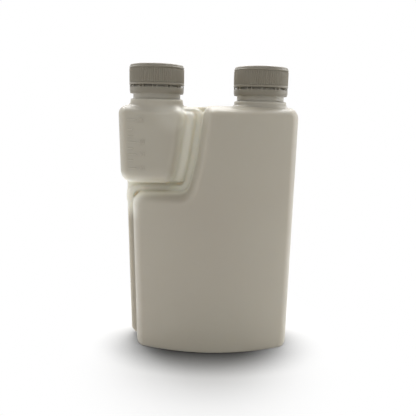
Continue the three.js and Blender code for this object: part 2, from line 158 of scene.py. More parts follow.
floor.data.materials.append(floor_paint)

world = bpy.data.worlds.new("studio")
world.use_nodes = True
scene.world = world
nodes, links = world.node_tree.nodes, world.node_tree.links
room = nodes["Background"]
room.inputs["Color"].default_value = (1, 1, 1, 1)
room.inputs["Strength"].default_value = 0.33
backdrop = nodes.new("ShaderNodeBackground")
backdrop.inputs["Color"].default_value = (1, 1, 1, 1)
backdrop.inputs["Strength"].default_value = 1.0
path = nodes.new("ShaderNodeLightPath")
choice = nodes.new("ShaderNodeMixShader")
seen_or_mirrored = nodes.new("ShaderNodeMath")
seen_or_mirrored.operation = "MAXIMUM"
links.new(path.outputs["Is Camera Ray"], seen_or_mirrored.inputs[0])
links.new(path.outputs["Is Glossy Ray"], seen_or_mirrored.inputs[1])
links.new(seen_or_mirrored.outputs[0], choice.inputs["Fac"])
links.new(room.outputs[0], choice.inputs[1])
links.new(backdrop.outputs[0], choice.inputs[2])
links.new(choice.outputs[0], nodes["World Output"].inputs["Surface"])


def lamp(name, place, target, width, height, watts):
    """A flat lamp at a place, turned towards its target."""
    light = bpy.data.lights.new(name, "AREA")
    light.shape = "RECTANGLE"
    light.size = width
    light.size_y = height
    light.energy = watts
    made = bpy.data.objects.new(name, light)
    made.location = place
    made.rotation_euler = (Vector(target) - Vector(place)).to_track_quat("-Z", "Y").to_euler()
    scene.collection.objects.link(made)
    return made


lamp("left_lamp", (-0.72, 0.10, 0.32), (0, 0, 0.10), 0.6, 0.8, 0.8)
lamp("right_lamp", (0.72, 0.12, 0.32), (0, 0, 0.10), 0.6, 0.8, 2.1)
lamp("back_lamp", (0.0, 0.50, 0.85), (0, 0, 0.06), 1.2, 0.7, 12.5)
lamp("front_lamp", (-0.10, -0.75, 0.95), (0, 0, 0.16), 0.7, 0.5, 1.5)

# Bottle: one blow-moulded shell of milky natural polyethylene, about 1.2 mm thick. The mould
# forms the reservoir, the measuring chamber and the feed tube between them, and pinches a thin
# web where they part. Sizes are in millimetres.

wall = 1.2
web_half = 1.2
neck_x = {"dosing": -39.75, "filling": 39.75}

tube_half_width = 2.8
tube_half_depth = 6.2
tube_pinch = 0.4
tube_port = (-48, 4.2)
tube_foot = (-56.45, 4.2)
tube_shelf = (-59.75, 123.5)
tube_riser = (-16.5, 123.5)
tube_knee = (-10.4, 150)
tube_crest = (-6.3, 182.6)
tube_mouth = (-24, 182.6)
tube_route = [
    (*tube_port, 0), (*tube_foot, 4.4), (*tube_shelf, 7.5), (*tube_riser, 7),
    (*tube_knee, 40), (*tube_crest, 4.2), (*tube_mouth, 0),
]

reservoir_top = 187.2
reservoir_right_top = 67.83
reservoir_right_base = 66.7
reservoir_corner = 8.6
reservoir_half_depth = 36.47
reservoir_bow = 12.2
reservoir_bow_reach = 55.2
reservoir_bow_centre = 5.95
chamber_top = 186.2
chamber_bottom = 128.2
chamber_left_top = -67.79
chamber_left_bottom = -66.1
chamber_half_depth = 23
chamber_bow = 1.6
chamber_bow_reach = 19.9
flank_width = 8.2
flank_half_depth = 11
flank_corner = 5

# How far the rounded edge of each lobe reaches in from its outline, and back from its front.
reservoir_edge = (6.5, 20)
chamber_edge = (6.8, 13)
flank_edge = (3.4, 7)
tube_edge = (2.2, 4)

web_left = -62.5
web_right = 3.0
web_bottom = 113.2
fillet = 2.6
foot_rounding = 1.2
foot_rim = 6.0
foot_hollow = 1.2
neck_bore = 15.9
collar_radius = 20.0
collar_top = 191.3
collar_bottom = chamber_top - 8
collar_rounding = 0.9
opening_radius = 16.9


def rounded(corners, closed=True, steps=16):
    """Points of an outline whose corners (x, z, radius) are rounded."""
    spots = [complex(x, z) for x, z, _ in corners]
    points = []
    for i, (here, (_, _, radius)) in enumerate(zip(spots, corners)):
        if not closed and i in (0, len(spots) - 1):
            points.append(here)
            continue
        back = spots[i - 1] - here
        ahead = spots[(i + 1) % len(spots)] - here
        back /= abs(back)
        ahead /= abs(ahead)
        half = abs(np.angle(back / ahead)) / 2
        middle = back + ahead
        centre = here + middle / abs(middle) * radius / sin(half)
        start = here + back * radius / np.tan(half) - centre
        end = here + ahead * radius / np.tan(half) - centre
        turn = np.angle(end / start)
        points += [centre + start * np.exp(1j * turn * k / steps) for k in range(steps + 1)]
    return np.array([(p.real, p.imag) for p in points])


def beside_tube(i, offset):
    """Crossing of the tube's legs i and i + 1 once both are moved to their right."""
    a, b, c = (complex(*tube_route[i + k][:2]) for k in range(3))
    first = (b - a) / abs(b - a) * -1j
    second = (c - b) / abs(c - b) * -1j
    middle = (first + second) / abs(first + second)
    place = b + middle * offset / (middle * first.conjugate()).real
    return place.real, place.imag


seat = tube_half_width - tube_pinch
leg_slope = (tube_shelf[0] - tube_foot[0]) / (tube_shelf[1] - tube_foot[1])
crest_slope = (tube_crest[0] - tube_knee[0]) / (tube_crest[1] - tube_knee[1])


def riser_at(z):
    """The x at which the tube's upper leg crosses a height."""
    return tube_crest[0] + crest_slope * (z - tube_crest[1])


knee_left = beside_tube(3, -seat)
riser_foot = beside_tube(2, -seat)
riser_slope = (knee_left[0] - riser_foot[0]) / (knee_left[1] - riser_foot[1])
chamber_corner = riser_foot[0] + riser_slope * (chamber_bottom - riser_foot[1])
below = -20

reservoir_outline = rounded([
    (reservoir_right_base, below, reservoir_corner),
    (reservoir_right_top, reservoir_top, reservoir_corner),
    (riser_at(reservoir_top) + seat, reservoir_top, 8.4),
    (*beside_tube(3, seat), 40),
    (*beside_tube(2, seat), 9),
    (*beside_tube(1, seat), 10),
    (tube_foot[0] + seat + leg_slope * (below - tube_foot[1]), below, reservoir_corner),
])
flank_outline = rounded([
    (chamber_corner, chamber_bottom, flank_corner),
    (*knee_left, 40),
    (riser_at(tube_crest[1]) - seat, tube_crest[1], flank_corner),
    (tube_mouth[0], tube_crest[1], flank_corner),
    (tube_mouth[0] - flank_width, chamber_bottom, flank_corner),
])
chamber_outline = rounded([
    (chamber_left_bottom, chamber_bottom, 9.5),
    (chamber_corner - flank_width, chamber_bottom, 9),
    (knee_left[0] - flank_width, knee_left[1], 60),
    (riser_at(chamber_top) - seat - flank_width, chamber_top, 8.4),
    (chamber_left_top, chamber_top, 6.4),
])
tube_line = rounded(tube_route, closed=False)


def distance_to_line(points, line, closed):
    """Distance of each point to a line of straight pieces."""
    best = np.full(len(points), np.inf)
    count = len(line) if closed else len(line) - 1
    for i in range(count):
        a = line[i]
        run = line[(i + 1) % len(line)] - a
        length = run @ run
        if length < 1e-12:
            continue
        off = points - a
        share = np.clip(off @ run / length, 0, 1)
        gap = off - share[:, None] * run
        best = np.minimum(best, (gap * gap).sum(axis=1))
    return np.sqrt(best)


def is_within(points, line):
    """Whether each point lies within a closed outline."""
    within = np.zeros(len(points), bool)
    x, z = points.T
    for i in range(len(line)):
        (ax, az), (bx, bz) = line[i - 1], line[i]
        crosses = (az > z) != (bz > z)
        if az != bz:
            within ^= crosses & (x < ax + (z - az) * (bx - ax) / (bz - az))
    return within


class DepthMap:
    """How far inside an outline each place of the front view lies, kept on a fine grid."""

    low = np.array((-72.0, -24.0))
    high = np.array((72.0, 200.0))
    step = 0.4

    def __init__(self, line, half_width=None):
        counts = np.round((self.high - self.low) / self.step).astype(int) + 1
        axes = [self.low[k] + self.step * np.arange(counts[k]) for k in (0, 1)]
        grid = np.stack(np.meshgrid(*axes, indexing="ij"), axis=-1).reshape(-1, 2)
        gap = distance_to_line(grid, line, closed=half_width is None)
        if half_width is None:
            depth = np.where(is_within(grid, line), gap, -gap)
        else:
            depth = half_width - gap
        self.values = depth.reshape(counts)

    def at(self, x, z):
        u = np.clip((x - self.low[0]) / self.step, 0, self.values.shape[0] - 1.001)
        v = np.clip((z - self.low[1]) / self.step, 0, self.values.shape[1] - 1.001)
        i, j = u.astype(int), v.astype(int)
        p, q = u - i, v - j
        values = self.values
        near = values[i, j] * (1 - q) + values[i, j + 1] * q
        far = values[i + 1, j] * (1 - q) + values[i + 1, j + 1] * q
        return near * (1 - p) + far * p


def lobe(depth, y, half_depth, edge_inset, edge_depth, swell=1.0):
    """Signed distance to a lobe: flat in front, with an elliptical edge all round."""
    y = np.abs(y) / swell
    side = np.maximum(edge_inset - depth, 0) / edge_inset
    front = np.maximum(y - half_depth + edge_depth, 0) / edge_depth
    length = np.sqrt(side ** 2 + front ** 2)
    slope = np.sqrt((side / edge_inset) ** 2 + (front / edge_depth) ** 2)
    round_edge = (length - 1) * length / np.maximum(slope, 1e-6)
    flat = np.maximum(-depth, y - half_depth)
    return np.where((side > 0) & (front > 0), round_edge, flat)


def blended(a, b, reach):
    """The two surfaces joined with a soft fillet."""
    share = np.maximum(reach - np.abs(a - b), 0) / reach
    return np.minimum(a, b) - share ** 2 * reach / 4


reservoir_map = DepthMap(reservoir_outline)
chamber_map = DepthMap(chamber_outline)
flank_map = DepthMap(flank_outline)
tube_map = DepthMap(tube_line, tube_half_width)


def hollow_parts(x, y, z):
    """Signed distance to reservoir, chamber and feed tube together."""
    reservoir_fall = reservoir_bow * ((x - reservoir_bow_centre) / reservoir_bow_reach) ** 2
    reservoir_swell = (reservoir_half_depth - reservoir_fall) / reservoir_half_depth
    chamber_fall = chamber_bow * ((x - neck_x["dosing"]) / chamber_bow_reach) ** 2
    chamber_swell = (chamber_half_depth - chamber_fall) / chamber_half_depth
    reservoir = lobe(reservoir_map.at(x, z), y, reservoir_half_depth, *reservoir_edge, reservoir_swell)
    chamber = lobe(chamber_map.at(x, z), y, chamber_half_depth, *chamber_edge, chamber_swell)
    flank = lobe(flank_map.at(x, z), y, flank_half_depth, *flank_edge)
    tube = lobe(tube_map.at(x, z), y, tube_half_depth, *tube_edge)
    return blended(blended(chamber, flank, fillet), blended(reservoir, tube, fillet), fillet)


def skin(x, y, z):
    """Signed distance to the outside of the bottle below its threads."""
    body = hollow_parts(x, y, z)
    web = np.maximum.reduce([
        np.abs(y) - web_half, web_left - x, x - web_right, web_bottom - z, z - chamber_top])
    body = blended(body, web, fillet)
    for centre in neck_x.values():
        radius = np.hypot(x - centre, y)
        side = np.maximum(radius - collar_radius + collar_rounding, 0)
        top = np.maximum(z - collar_top + collar_rounding, 0)
        collar = np.maximum(np.hypot(side, top) - collar_rounding, collar_bottom - z)
        body = blended(body, collar, fillet)
    rim = np.maximum(body + foot_rim, z - foot_hollow)
    base = -blended(-body, z, foot_rounding)
    return np.maximum(base, -rim)


def surface(field, low, high, step):
    """Quads that follow the zero level of a field, by surface nets, then drawn onto it."""
    low = np.array(low, float)
    counts = np.ceil((np.array(high) - low) / step).astype(int) + 1
    axes = [low[k] + step * np.arange(counts[k]) for k in range(3)]
    values = np.empty(counts, np.float32)
    for i, x in enumerate(axes[0]):
        y, z = np.meshgrid(axes[1], axes[2], indexing="ij")
        values[i] = field(np.full_like(y, x), y, z)
    within = values < 0
    cells = counts - 1
    corners = [(a, b, c) for a in (0, 1) for b in (0, 1) for c in (0, 1)]
    filled = sum(within[a:a + cells[0], b:b + cells[1], c:c + cells[2]].astype(np.int8)
                 for a, b, c in corners)
    spots = np.argwhere((filled > 0) & (filled < 8))
    number = np.full(cells, -1, np.int64)
    number[tuple(spots.T)] = np.arange(len(spots))
    total = np.zeros((len(spots), 3))
    hits = np.zeros(len(spots))
    for start in corners:
        for axis in range(3):
            if start[axis]:
                continue
            end = tuple(v + (k == axis) for k, v in enumerate(start))
            a = values[tuple((spots + start).T)]
            b = values[tuple((spots + end).T)]
            crossing = (a < 0) != (b < 0)
            share = np.where(crossing, a / np.where(crossing, a - b, 1), 0)
            place = np.array(start) + share[:, None] * (np.arange(3) == axis)
            total += place * crossing[:, None]
            hits += crossing
    points = low + step * (spots + total / hits[:, None])
    quads = []
    for axis in range(3):
        one, two = (axis + 1) % 3, (axis + 2) % 3
        first = np.take(within, range(counts[axis] - 1), axis)
        second = np.take(within, range(1, counts[axis]), axis)
        edge = np.argwhere(first != second)
        inner = (edge[:, [one, two]] > 0) & (edge[:, [one, two]] < cells[[one, two]])
        edge = edge[inner.all(axis=1)]
        around = []
        for da, db in ((-1, -1), (0, -1), (0, 0), (-1, 0)):
            cell = edge.copy()
            cell[:, one] += da
            cell[:, two] += db
            around.append(number[tuple(cell.T)])
        quad = np.stack(around, axis=1)
        outwards = within[tuple(edge.T)]
        quads.append(np.where(outwards[:, None], quad, quad[:, ::-1]))
    quads = np.concatenate(quads)
    nudge = 0.02
    least_steepness = 0.05
    for _ in range(4):
        here = field(*points.T)
        slope = np.stack([
            field(*(points + nudge * axis).T) - field(*(points - nudge * axis).T) for axis in np.eye(3)
        ], axis=1) / (2 * nudge)
        steepness = np.maximum((slope ** 2).sum(axis=1), least_steepness)
        move = np.clip(-here / steepness, -step / 2, step / 2)[:, None] * slope
        points = points + move
    return points, quads


def without(points, quads, gone):
    """The same surface without the faces whose middle is in `gone`."""
    middle = points[quads].mean(axis=1)
    kept = quads[~gone(*middle.T)]
    used, renumbered = np.unique(kept, return_inverse=True)
    return points[used], renumbered.reshape(-1, 4)


def under_a_neck(x, y, z):
    """Whether each place lies in an opening that a neck stands over."""
    near = np.zeros(len(x), bool)
    for centre in neck_x.values():
        near |= (np.hypot(x - centre, y) < opening_radius) & (z > collar_bottom)
    return near


skin_step = 1.15
points, quads = surface(skin, (-70, -39, -2), (70, 39, 194), skin_step)
points, quads = without(points, quads, under_a_neck)
bottle_skin = mesh_object("bottle_skin", points * mm, quads)


def eased(value, start, end):
    """0 up to the start and 1 from the end on, with a soft step between."""
    share = np.clip((value - start) / (end - start), 0, 1)
    return share * share * (3 - 2 * share)


# Painted light: beside the feed tube, where the mould pinches the wall, the skin's colour is lightened, a
# painted glow that stands in for light showing through.
x, y, z = points.T
painted_glow_mask = eased(tube_map.at(x, z), -17, -6) * eased(np.abs(y), 26, 15) * eased(z, 97, 111)
painted_glow_mask *= eased(z, 189, 181)
painted_glow_layer = bottle_skin.data.attributes.new("painted_glow", "FLOAT", "POINT")
painted_glow_layer.data.foreach_set("value", painted_glow_mask.astype(np.float32))
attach(bottle_skin, "bottle")
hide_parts("bottle")


def inside_space(x, y, z):
    """Signed distance to the space inside, with the bores of the two necks."""
    space = np.maximum(hollow_parts(x, y, z) + wall, foot_hollow * 2 - z)
    for centre in neck_x.values():
        bore = np.maximum(np.hypot(x - centre, y) - neck_bore, collar_bottom - z)
        space = np.minimum(space, bore)
    return space


inside_step = 2.4
points, quads = surface(inside_space, (-68, -37.5, 0), (68, 37.5, 187), inside_step)
bottle_inside = mesh_object("bottle_inside", points * mm, quads[:, ::-1])
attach(bottle_inside, "bottle")

# Plastic of the bottle: unpigmented polyethylene, milky and a little warm, with the fine etched
# grain of the mould, light scuffs from handling and the seam where the mould's halves met.


def shader_group(name, sockets_in, sockets_out):
    """An empty group of shader nodes with named inputs and outputs."""
    group = bpy.data.node_groups.new(name, "ShaderNodeTree")
    for label, value in sockets_in:
        socket = group.interface.new_socket(name=label, in_out="INPUT", socket_type="NodeSocketFloat")
        socket.default_value = value
    for label in sockets_out:
        group.interface.new_socket(name=label, in_out="OUTPUT", socket_type="NodeSocketFloat")
    entry = group.nodes.new("NodeGroupInput")
    leave = group.nodes.new("NodeGroupOutput")
    return group, entry, leave


grain, entry, leave = shader_group("moulded_grain", [("Grain", 1400.0), ("Cloud", 22.0)], ["Height", "Cloud"])
place = grain.nodes.new("ShaderNodeTexCoord")
etched = grain.nodes.new("ShaderNodeTexNoise")
etched.inputs["Detail"].default_value = 2.0
cloud = grain.nodes.new("ShaderNodeTexNoise")
cloud.inputs["Detail"].default_value = 3.0
cloud.inputs["Roughness"].default_value = 0.45
grain.links.new(place.outputs["Object"], etched.inputs["Vector"])
grain.links.new(place.outputs["Object"], cloud.inputs["Vector"])
grain.links.new(entry.outputs["Grain"], etched.inputs["Scale"])
grain.links.new(entry.outputs["Cloud"], cloud.inputs["Scale"])
grain.links.new(etched.outputs["Fac"], leave.inputs["Height"])
grain.links.new(cloud.outputs["Fac"], leave.inputs["Cloud"])

scuffs, entry, leave = shader_group("handling_scuffs", [("Scale", 60.0), ("Rarity", 0.62)], ["Mask"])
place = scuffs.nodes.new("ShaderNodeTexCoord")
stretch = scuffs.nodes.new("ShaderNodeMapping")
stretch.inputs["Rotation"].default_value = (0.2, 0.5, 0.3)
stretch.inputs["Scale"].default_value = (1.0, 1.0, 0.16)
rubbed = scuffs.nodes.new("ShaderNodeTexNoise")
rubbed.inputs["Detail"].default_value = 5.0
rubbed.inputs["Roughness"].default_value = 0.65
over = scuffs.nodes.new("ShaderNodeMath")
over.operation = "SUBTRACT"
spread = scuffs.nodes.new("ShaderNodeMath")
spread.operation = "MULTIPLY"
spread.inputs[1].default_value = 6.0
spread.use_clamp = True
scuffs.links.new(place.outputs["Object"], stretch.inputs["Vector"])
scuffs.links.new(stretch.outputs["Vector"], rubbed.inputs["Vector"])
scuffs.links.new(entry.outputs["Scale"], rubbed.inputs["Scale"])
scuffs.links.new(rubbed.outputs["Fac"], over.inputs[0])
scuffs.links.new(entry.outputs["Rarity"], over.inputs[1])
scuffs.links.new(over.outputs[0], spread.inputs[0])
scuffs.links.new(spread.outputs[0], leave.inputs["Mask"])


def moulded_plastic(name, dark, light, rub, roughness, grain_size, cloud_size, bump, milkiness, milk_depth):
    """A moulded plastic with cloudy colour, etched grain and scuffs, and the nodes to add to it."""
    made = bpy.data.materials.new(name)
    made.use_nodes = True
    nodes, links = made.node_tree.nodes, made.node_tree.links
    shader = nodes["Principled BSDF"]
    surface_grain = nodes.new("ShaderNodeGroup")
    surface_grain.node_tree = grain
    surface_grain.inputs["Grain"].default_value = grain_size
    surface_grain.inputs["Cloud"].default_value = cloud_size
    marks = nodes.new("ShaderNodeGroup")
    marks.node_tree = scuffs
    tone = nodes.new("ShaderNodeMix")
    tone.data_type = "RGBA"
    tone.inputs["A"].default_value = (*dark, 1)
    tone.inputs["B"].default_value = (*light, 1)
    rubbed_tone = nodes.new("ShaderNodeMix")
    rubbed_tone.data_type = "RGBA"
    rubbed_tone.inputs["B"].default_value = (*rub, 1)
    faint = nodes.new("ShaderNodeMath")
    faint.operation = "MULTIPLY"
    faint.inputs[1].default_value = 0.16
    dull = nodes.new("ShaderNodeMapRange")
    dull.inputs["To Min"].default_value = roughness
    dull.inputs["To Max"].default_value = roughness + 0.16
    relief = nodes.new("ShaderNodeBump")
    relief.inputs["Strength"].default_value = bump
    relief.inputs["Distance"].default_value = 0.00005
    links.new(surface_grain.outputs["Cloud"], tone.inputs["Factor"])
    links.new(tone.outputs["Result"], rubbed_tone.inputs["A"])
    links.new(marks.outputs["Mask"], faint.inputs[0])
    links.new(faint.outputs[0], rubbed_tone.inputs["Factor"])
    links.new(rubbed_tone.outputs["Result"], shader.inputs["Base Color"])
    links.new(marks.outputs["Mask"], dull.inputs["Value"])
    links.new(dull.outputs["Result"], shader.inputs["Roughness"])
    links.new(surface_grain.outputs["Height"], relief.inputs["Height"])
    links.new(relief.outputs["Normal"], shader.inputs["Normal"])
    shader.inputs["IOR"].default_value = 1.52
    shader.inputs["Specular IOR Level"].default_value = 0.45
    shader.inputs["Subsurface Weight"].default_value = milkiness
    shader.inputs["Subsurface Radius"].default_value = (1.0, 0.92, 0.8)
    shader.inputs["Subsurface Scale"].default_value = milk_depth
    return made, relief


natural_plastic, relief = moulded_plastic(
    "natural_polyethylene",
    dark=(0.475, 0.425, 0.352), light=(0.515, 0.487, 0.402), rub=(0.60, 0.57, 0.50),
    roughness=0.40, grain_size=1100.0, cloud_size=12.0, bump=0.5, milkiness=0.75, milk_depth=0.007)
nodes, links = natural_plastic.node_tree.nodes, natural_plastic.node_tree.links
# Painted glow: the colour is mixed towards a light tone where the skin's glow mask is set, in place of light
# showing through the thin wall.
painted_glow = nodes.new("ShaderNodeAttribute")
painted_glow.attribute_name = "painted_glow"
painted_glow_tone = nodes.new("ShaderNodeMix")
painted_glow_tone.data_type = "RGBA"
painted_glow_tone.inputs["B"].default_value = (0.83, 0.805, 0.71, 1)
shader = nodes["Principled BSDF"]
links.new(painted_glow.outputs["Fac"], painted_glow_tone.inputs["Factor"])
links.new(shader.inputs["Base Color"].links[0].from_socket, painted_glow_tone.inputs["A"])
links.new(painted_glow_tone.outputs["Result"], shader.inputs["Base Color"])
place = nodes.new("ShaderNodeTexCoord")
across_mould = nodes.new("ShaderNodeSeparateXYZ")
off_seam = nodes.new("ShaderNodeMath")
off_seam.operation = "ABSOLUTE"
seam = nodes.new("ShaderNodeMapRange")
seam.interpolation_type = "SMOOTHSTEP"
seam.inputs["From Min"].default_value = 0.0001
seam.inputs["From Max"].default_value = 0.0005
seam.inputs["To Min"].default_value = 1.0
seam.inputs["To Max"].default_value = 0.0
seam_relief = nodes.new("ShaderNodeBump")
seam_relief.inputs["Strength"].default_value = 0.8
seam_relief.inputs["Distance"].default_value = 0.0003
links.new(place.outputs["Object"], across_mould.inputs[0])
links.new(across_mould.outputs["Y"], off_seam.inputs[0])
links.new(off_seam.outputs[0], seam.inputs["Value"])
links.new(seam.outputs["Result"], seam_relief.inputs["Height"])
links.new(seam_relief.outputs["Normal"], relief.inputs["Normal"])
bottle_skin.data.materials.append(natural_plastic)
bottle_inside.data.materials.append(natural_plastic)

# Necks: the two threaded finishes, blown in one with the bottle. Each has a rounded rim, a
# right-hand thread of a turn and a half and the ridge that holds the tamper ring back.

neck_radius = 17.9
neck_top = 213.6
neck_start = 181
neck_start_radius = 17.2
neck_facets = 160
retainer_radius = 19.1
retainer_bottom = 199.5
thread_pitch = 4.2
thread_depth = 1.0
thread_bury = 0.4
neck_thread_top = 211.4
neck_thread_turns = 1.6


def turned_rows(rows, columns, centre, ends, ribs=0, rib_height=0.0):
    """Points and faces of rows (radius, height, rib share) turned about a neck's axis."""
    angles = 2 * pi * np.arange(columns) / columns
    wave = np.clip(0.5 + 0.8 * np.cos(ribs * angles), 0, 1) if ribs else np.zeros(columns)
    points = []
    for radius, height, share in rows:
        reach = radius + rib_height * share * wave
        points.append(np.stack([centre + reach * np.cos(angles), reach * np.sin(angles),
                                np.full(columns, float(height))], axis=1))
    faces = []
    count = len(rows) if ends == "ring" else len(rows) - 1
    for i in range(count):
        low, high = i * columns, (i + 1) % len(rows) * columns
        for k in range(columns):
            following = (k + 1) % columns
            faces.append((low + k, low + following, high + following, high + k))
    if ends == "capped":
        faces.append(tuple(range(columns))[::-1])
        faces.append(tuple(range((len(rows) - 1) * columns, len(rows) * columns)))
    return np.concatenate(points), faces


def thread_rows(buried, crest, top, turns, centre, steps_per_turn=72):
    """A right-hand thread with rounded flanks that runs out at both ends."""
    half_widths = ((0.0, -0.98), (0.55, -0.78), (0.9, -0.55), (1.0, -0.3),
                   (1.0, 0.3), (0.9, 0.55), (0.55, 0.78), (0.0, 0.98))
    steps = round(turns * steps_per_turn)
    points, faces = [], []
    for i in range(steps + 1):
        turn = turns * i / steps
        rise = min(1.0, turn / 0.12, (turns - turn) / 0.12)
        angle = -2 * pi * turn
        for share, half in half_widths:
            radius = buried + (crest - buried) * share * (0.2 + 0.8 * rise)
            points.append((centre + radius * cos(angle), radius * sin(angle),
                           top + half - thread_pitch * turn))
    count = len(half_widths)
    for i in range(steps):
        for k in range(count):
            following = (k + 1) % count
            near, far = i * count, (i + 1) * count
            faces.append((near + k, near + following, far + following, far + k))
    faces.append(tuple(range(count))[::-1])
    faces.append(tuple(range(steps * count, (steps + 1) * count)))
    return np.array(points), faces


def together(*parts):
    """Several sets of points and faces as one."""
    points, faces = [], []
    for some_points, some_faces in parts:
        start = sum(len(p) for p in points)
        points.append(some_points)
        faces += [tuple(int(k) + start for k in face) for face in some_faces]
    return np.concatenate(points), faces


def turned_piece(name, parts, material, body):
    """One piece of several turned parts, in its material and riding on its body."""
    points, faces = together(*parts)
    made = mesh_object(name, points * mm, faces)
    made.data.set_sharp_from_angle(angle=radians(50))
    made.data.materials.append(material)
    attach(made, body)
    return made


neck_rows = [
    (neck_bore, neck_start, 0), (neck_bore, neck_top - 0.5, 0), (neck_bore + 0.15, neck_top - 0.15, 0),
    (neck_bore + 0.5, neck_top, 0), (neck_radius - 0.5, neck_top, 0),
    (neck_radius - 0.15, neck_top - 0.15, 0),
    (neck_radius, neck_top - 0.5, 0), (neck_radius, retainer_bottom + 2.1, 0),
    (neck_radius + 0.12, retainer_bottom + 1.75, 0), (retainer_radius - 0.12, retainer_bottom + 0.85, 0),
    (retainer_radius, retainer_bottom + 0.6, 0), (retainer_radius, retainer_bottom + 0.25, 0),
    (retainer_radius - 0.2, retainer_bottom + 0.02, 0), (neck_radius + 0.2, retainer_bottom, 0),
    (neck_radius, retainer_bottom - 0.25, 0), (neck_radius, collar_top + 1.0, 0),
    (neck_radius + 0.1, collar_top + 0.5, 0), (neck_radius + 0.45, collar_top + 0.1, 0),
    (neck_radius + 0.9, collar_top - 0.03, 0), (neck_radius + 0.9, collar_top - 2, 0),
    (neck_start_radius, neck_start, 0),
]
for use, centre in neck_x.items():
    body = turned_rows(neck_rows[::-1], neck_facets, centre, "ring")
    ridge = thread_rows(neck_radius - thread_bury, neck_radius + thread_depth, neck_thread_top,
                        neck_thread_turns, centre)
    turned_piece(f"{use}_neck", [body, ridge], natural_plastic, "bottle")

# Graduations of the measuring chamber: lines and numbers engraved in the mould, so they stand
# slightly proud of the chamber's front, at its left edge.

marks = [(175.8, True), (168.5, False), (163.9, False), (159.5, True),
         (155.0, False), (150.7, True), (146.3, False), (140.4, True)]
numbers = {175.8: "80", 159.5: "60", 150.7: "40", 140.4: "20"}
mark_left = -59.6
long_mark = 6.6
short_mark = 4.2
mark_height = 0.42
mark_stand = 0.3
mark_bury = 0.3
number_left = -51.2
number_size = 4.2


def front_of_bottle(x, z):
    """The y at which the front of the bottle lies, for each x and z, by halving."""
    well_in_front = -45.0
    halvings = 26
    outside = np.full(len(x), well_in_front)
    inside = np.zeros(len(x))
    for _ in range(halvings):
        middle = (outside + inside) / 2
        within = skin(x, middle, z) < 0
        inside = np.where(within, middle, inside)
        outside = np.where(within, outside, middle)
    return inside


points, faces = [], []
for height, is_long in marks:
    width = long_mark if is_long else short_mark
    x = mark_left + width * np.array((0, 0.02, 0.06, 0.25, 0.5, 0.75, 0.94, 0.98, 1))
    ends = np.array((0.3, 0.75, 1, 1, 1, 1, 1, 0.75, 0.3))
    section = ((-0.5, -mark_bury), (-0.42, 0.6 * mark_stand), (-0.2, mark_stand),
               (0.2, mark_stand), (0.42, 0.6 * mark_stand), (0.5, -mark_bury))
    start = sum(len(p) for p in points)
    for k, end in zip(x, ends):
        z = np.array([height + up * mark_height * 2 * end for up, _ in section])
        y = front_of_bottle(np.full(len(section), k), z) - np.array([out * end for _, out in section])
        points.append(np.stack([np.full(len(section), k), y, z], axis=1))
    for i in range(len(x) - 1):
        for k in range(len(section) - 1):
            a = start + i * len(section) + k
            faces.append((a + 1, a + len(section) + 1, a + len(section), a))
    faces.append(tuple(start + k for k in range(len(section))))
    faces.append(tuple(start + (len(x) - 1) * len(section) + k for k in range(len(section)))[::-1])
lines = mesh_object("graduation_lines", np.concatenate(points) * mm, faces)
lines.data.set_sharp_from_angle(angle=radians(50))
raised_plastic, _ = moulded_plastic(
    "natural_polyethylene_marks",
    dark=(0.53, 0.486, 0.40), light=(0.58, 0.54, 0.455), rub=(0.62, 0.59, 0.51),
    roughness=0.34, grain_size=1100.0, cloud_size=16.0, bump=0.3, milkiness=0.0, milk_depth=0.001)
lines.data.materials.append(raised_plastic)
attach(lines, "bottle")

for height, number in numbers.items():
    drawn = bpy.data.curves.new(f"number_{number}_outline", "FONT")
    drawn.body = number
    drawn.size = number_size
    drawn.extrude = (mark_stand + mark_bury) / 2
    drawn.bevel_depth = 0.05
    drawn.align_y = "CENTER"
    lettering = bpy.data.objects.new(f"number_{number}_outline", drawn)
    scene.collection.objects.link(lettering)
    bpy.context.view_layer.update()
    solid = lettering.evaluated_get(bpy.context.evaluated_depsgraph_get())
    mesh = bpy.data.meshes.new_from_object(solid)
    bpy.data.objects.remove(lettering)
    flat = np.array([vertex.co[:] for vertex in mesh.vertices])
    x, z = number_left + flat[:, 0], height + flat[:, 1]
    y = front_of_bottle(x, z) - flat[:, 2] - (mark_stand - mark_bury) / 2
    mesh.vertices.foreach_set("co", (np.stack([x, y, z], axis=1) * mm).ravel())
    mesh.update()
    mesh.materials.clear()
    mesh.materials.append(raised_plastic)
    raised = bpy.data.objects.new(f"number_{number}", mesh)
    scene.collection.objects.link(raised)
    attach(raised, "bottle")

# Screw caps: injection-moulded in grey polypropylene, with eighty fine grip ribs between a
# plain hem and a bead, a shallow ring in the top and a thread inside.

cap_plastic, _ = moulded_plastic(
    "grey_polypropylene",
    dark=(0.225, 0.200, 0.151), light=(0.262, 0.236, 0.183), rub=(0.36, 0.335, 0.28),
    roughness=0.38, grain_size=1700.0, cloud_size=30.0, bump=0.35, milkiness=0.3, milk_depth=0.002)

